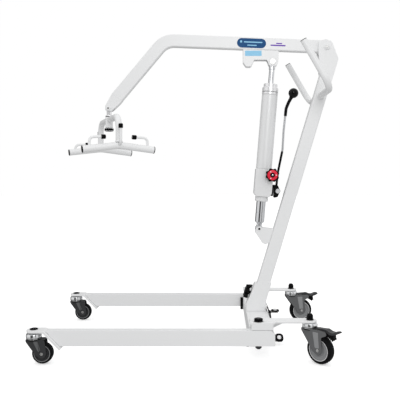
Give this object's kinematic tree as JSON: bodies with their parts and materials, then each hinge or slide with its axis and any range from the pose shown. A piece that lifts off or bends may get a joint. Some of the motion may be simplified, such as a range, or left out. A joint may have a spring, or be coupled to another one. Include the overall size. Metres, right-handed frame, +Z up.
{
  "type": "patient lift hoist",
  "caption": "Hydraulic floor lift for moving a patient in a sling: spreading base legs on casters, leaning mast, boom, hand pump and a swivelling sling cradle.",
  "frame": {"origin": "on the floor under the centre of the lift's footprint, as posed at rest", "axes": "+Z up; -X forwards, the way the boom and the legs reach; +Y towards the lift's right leg"},
  "size_m": [1.149, 0.6723, 1.2209],
  "materials": {
    "white_paint": "gloss white powder coat",
    "silver_paint": "satin silver-white enamel",
    "chrome": "polished chrome plate",
    "zinc_steel": "bright zinc plate",
    "black_plastic": "moulded black plastic",
    "black_rubber": "matt moulded rubber",
    "caster_grey": "moulded grey nylon",
    "tyre_rubber": "smooth black thermoplastic rubber",
    "red_plastic": "moulded red plastic"
  },
  "bodies": {
    "base": {"base_cross_tube": "white_paint", "rear_arm_left": "white_paint", "rear_arm_right": "white_paint", "leg_bumper_left": "black_rubber", "leg_bumper_right": "black_rubber", "mast_socket": "white_paint", "leg_pivot_bolt_left": "black_plastic", "leg_pivot_bolt_right": "black_plastic", "mast_tube": "white_paint", "mast_head": "white_paint", "boom_pivot_bolt": "zinc_steel", "pump_foot_bracket": "white_paint", "pump_foot_pin": "black_plastic", "push_handle_left": "white_paint", "push_handle_right": "white_paint", "pedal_guard": "white_paint"},
    "leg_left": {"leg_tube_left": "white_paint", "leg_front_bracket_left": "white_paint"},
    "leg_right": {"leg_tube_right": "white_paint", "leg_front_bracket_right": "white_paint"},
    "foot_pedal": {"foot_pedal_rocker": "zinc_steel", "pedal_pad_left": "black_rubber", "pedal_pad_right": "black_rubber"},
    "mast_lock": {"mast_lock_knob": "black_plastic"},
    "boom": {"boom_tube": "white_paint", "boom_nose": "white_paint", "pump_head_bracket": "white_paint", "pump_head_pin": "zinc_steel"},
    "pump": {"pump_foot_rod": "chrome", "pump_foot_collar": "silver_paint", "pump_block": "silver_paint", "pump_barrel": "silver_paint", "pump_gland": "chrome", "lever_socket": "black_plastic", "lever_bolt": "chrome"},
    "piston": {"pump_piston_rod": "chrome"},
    "release_valve": {"release_knob": "black_plastic", "release_knob_ring": "red_plastic"},
    "lever": {"pump_lever": "chrome", "lever_ball": "black_plastic"},
    "cradle_bush": {"cradle_pin": "zinc_steel"},
    "yoke": {"cradle_yoke": "zinc_steel"},
    "cradle": {"cradle_arch": "white_paint", "cradle_bar_left": "white_paint", "cradle_bar_right": "white_paint"},
    "caster_front_left": {"caster_fork_front_left": "caster_grey"},
    "wheel_front_left": {"wheel_core_front_left": "caster_grey", "tyre_front_left": "tyre_rubber"},
    "caster_rear_left": {"caster_fork_rear_left": "caster_grey"},
    "wheel_rear_left": {"wheel_core_rear_left": "caster_grey", "tyre_rear_left": "tyre_rubber"},
    "brake_rear_left": {"brake_pedal_rear_left": "caster_grey"},
    "caster_front_right": {"caster_fork_front_right": "caster_grey"},
    "wheel_front_right": {"wheel_core_front_right": "caster_grey", "tyre_front_right": "tyre_rubber"},
    "caster_rear_right": {"caster_fork_rear_right": "caster_grey"},
    "wheel_rear_right": {"wheel_core_rear_right": "caster_grey", "tyre_rear_right": "tyre_rubber"},
    "brake_rear_right": {"brake_pedal_rear_right": "caster_grey"}
  },
  "joints": [
    {"name": "leg_spread_left", "type": "hinge", "parent": "base", "child": "leg_left", "pos_m": [0.237, -0.27, 0.09], "axis": [0, 0, 1], "range_deg": [0, 14]},
    {"name": "leg_spread_right", "type": "hinge", "parent": "base", "child": "leg_right", "pos_m": [0.237, 0.31, 0.09], "axis": [0, 0, 1], "range_deg": [-14, 0]},
    {"name": "foot_pedal_rock", "type": "hinge", "parent": "base", "child": "foot_pedal", "pos_m": [0.322, 0.02, 0.061], "axis": [1, 0, 0], "range_deg": [-44, 0]},
    {"name": "mast_lock_turn", "type": "hinge", "parent": "base", "child": "mast_lock", "pos_m": [0.23, 0.02, 0.184], "axis": [-0.9573, 0, 0.2891], "continuous": true},
    {"name": "boom_lift", "type": "hinge", "parent": "base", "child": "boom", "pos_m": [0.5275, 0.02, 1.1675], "axis": [0, 1, 0], "range_deg": [-8, 48]},
    {"name": "pump_foot_pivot", "type": "hinge", "parent": "base", "child": "pump", "pos_m": [0.2587, 0.02, 0.4431], "axis": [0, 1, 0], "range_deg": [-0.016, 0.096]},
    {"name": "piston_head_pivot", "type": "hinge", "parent": "boom", "child": "piston", "pos_m": [0.3133, 0.02, 1.1114], "axis": [0, 1, 0], "range_deg": [-47.9, 7.98]},
    {"name": "release_valve_turn", "type": "hinge", "parent": "pump", "child": "release_valve", "pos_m": [0.30735, -0.035, 0.65785], "axis": [0, -1, 0], "range_deg": [0, 180]},
    {"name": "pump_lever_stroke", "type": "hinge", "parent": "pump", "child": "lever", "pos_m": [0.333, 0.02, 0.5936], "axis": [0, 1, 0], "range_deg": [-5, 8]},
    {"name": "cradle_level", "type": "hinge", "parent": "boom", "child": "cradle_bush", "pos_m": [-0.344, 0.02, 0.9245], "axis": [0, 1, 0], "range_deg": [-48, 8]},
    {"name": "cradle_swing", "type": "hinge", "parent": "cradle_bush", "child": "yoke", "pos_m": [-0.344, 0.02, 0.9245], "axis": [0, 1, 0], "range_deg": [-15, 15]},
    {"name": "cradle_swivel", "type": "hinge", "parent": "yoke", "child": "cradle", "pos_m": [-0.344, 0.02, 0.87], "axis": [0, 0, 1], "continuous": true},
    {"name": "caster_swivel_front_left", "type": "hinge", "parent": "leg_left", "child": "caster_front_left", "pos_m": [-0.55, -0.27, 0.1], "axis": [0, 0, 1], "continuous": true},
    {"name": "wheel_roll_front_left", "type": "hinge", "parent": "caster_front_left", "child": "wheel_front_left", "pos_m": [-0.518, -0.27, 0.0375], "axis": [0, 1, 0], "continuous": true},
    {"name": "caster_swivel_rear_left", "type": "hinge", "parent": "base", "child": "caster_rear_left", "pos_m": [0.421, -0.245, 0.1], "axis": [0, 0, 1], "continuous": true},
    {"name": "wheel_roll_rear_left", "type": "hinge", "parent": "caster_rear_left", "child": "wheel_rear_left", "pos_m": [0.4537, -0.27444, 0.05], "axis": [0.6691, 0.7431, 0], "continuous": true},
    {"name": "brake_press_rear_left", "type": "hinge", "parent": "caster_rear_left", "child": "brake_rear_left", "pos_m": [0.44627, -0.26775, 0.1232], "axis": [0.6691, 0.7431, 0], "range_deg": [0, 10]},
    {"name": "caster_swivel_front_right", "type": "hinge", "parent": "leg_right", "child": "caster_front_right", "pos_m": [-0.55, 0.31, 0.1], "axis": [0, 0, 1], "continuous": true},
    {"name": "wheel_roll_front_right", "type": "hinge", "parent": "caster_front_right", "child": "wheel_front_right", "pos_m": [-0.518, 0.31, 0.0375], "axis": [0, 1, 0], "continuous": true},
    {"name": "caster_swivel_rear_right", "type": "hinge", "parent": "base", "child": "caster_rear_right", "pos_m": [0.421, 0.285, 0.1], "axis": [0, 0, 1], "continuous": true},
    {"name": "wheel_roll_rear_right", "type": "hinge", "parent": "caster_rear_right", "child": "wheel_rear_right", "pos_m": [0.46433, 0.29264, 0.05], "axis": [-0.1736, 0.9848, 0], "continuous": true},
    {"name": "brake_press_rear_right", "type": "hinge", "parent": "caster_rear_right", "child": "brake_rear_right", "pos_m": [0.45448, 0.2909, 0.1232], "axis": [-0.1736, 0.9848, 0], "range_deg": [0, 10]}
  ],
  "couplings": [
    {"joint": "leg_spread_right", "follows": "leg_spread_left", "ratio": -1},
    {"joint": "foot_pedal_rock", "follows": "leg_spread_left", "ratio": -3.14},
    {"joint": "pump_foot_pivot", "follows": "boom_lift", "ratio": 0.002},
    {"joint": "piston_head_pivot", "follows": "boom_lift", "ratio": -0.998},
    {"joint": "cradle_level", "follows": "boom_lift", "ratio": -1}
  ]
}
